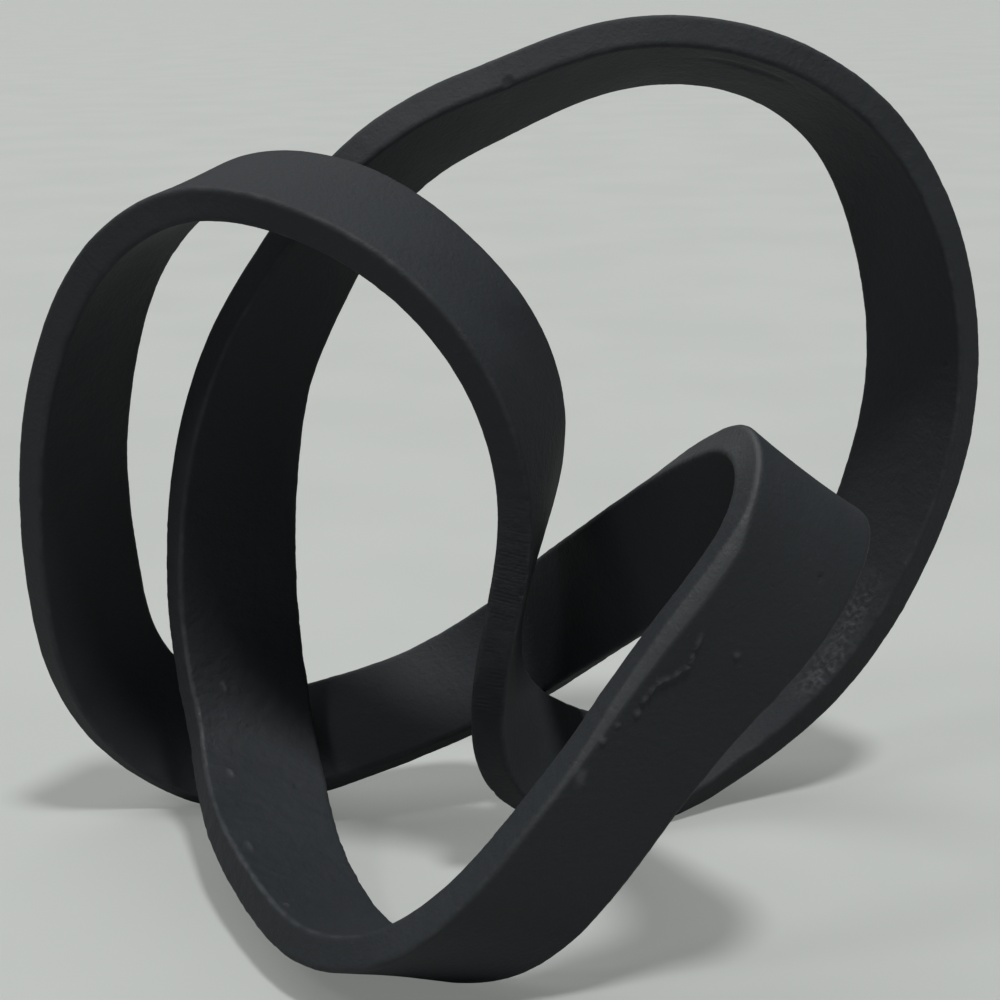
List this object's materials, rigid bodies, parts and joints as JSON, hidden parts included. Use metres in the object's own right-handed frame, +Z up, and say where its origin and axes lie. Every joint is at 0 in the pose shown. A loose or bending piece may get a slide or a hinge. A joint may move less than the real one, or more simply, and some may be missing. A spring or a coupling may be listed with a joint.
{
  "type": "metal knot sculpture",
  "caption": "Free-standing closed knot of flat cast ribbon with a half turn in it, welded from short lengths and coated matt black.",
  "frame": {"origin": "on the table, under the middle of the outline", "axes": "+Z up, +X to the viewer's right, +Y away from the viewer who faces the front bend"},
  "size_m": [0.2046, 0.1245, 0.1736],
  "materials": {
    "coated_casting": "matt black coat over a sand-cast skin, edges ground by hand",
    "coated_weld": "matt black coat over dressed weld metal"
  },
  "bodies": {
    "root": {"crown": "coated_casting", "central_strand": "coated_casting", "right_loop_foot": "coated_casting", "right_loop_side": "coated_casting", "right_loop_top": "coated_casting", "middle_strand": "coated_casting", "front_foot": "coated_casting", "front_strand": "coated_casting", "hairpin": "coated_casting", "back_leg": "coated_casting", "back_strand": "coated_casting", "left_loop_side": "coated_casting", "seam_left_shoulder": "coated_weld", "seam_crown_end": "coated_weld", "seam_central_lower": "coated_weld", "seam_right_lower": "coated_weld", "seam_right_top": "coated_weld", "seam_top_left": "coated_weld", "seam_middle_lower": "coated_weld", "seam_front_lower": "coated_weld", "seam_front_upper": "coated_weld", "seam_hairpin_back": "coated_weld", "seam_back_leg": "coated_weld", "seam_left_lower": "coated_weld", "curl_weld": "coated_weld", "crossing_weld": "coated_weld"}
  },
  "joints": []
}
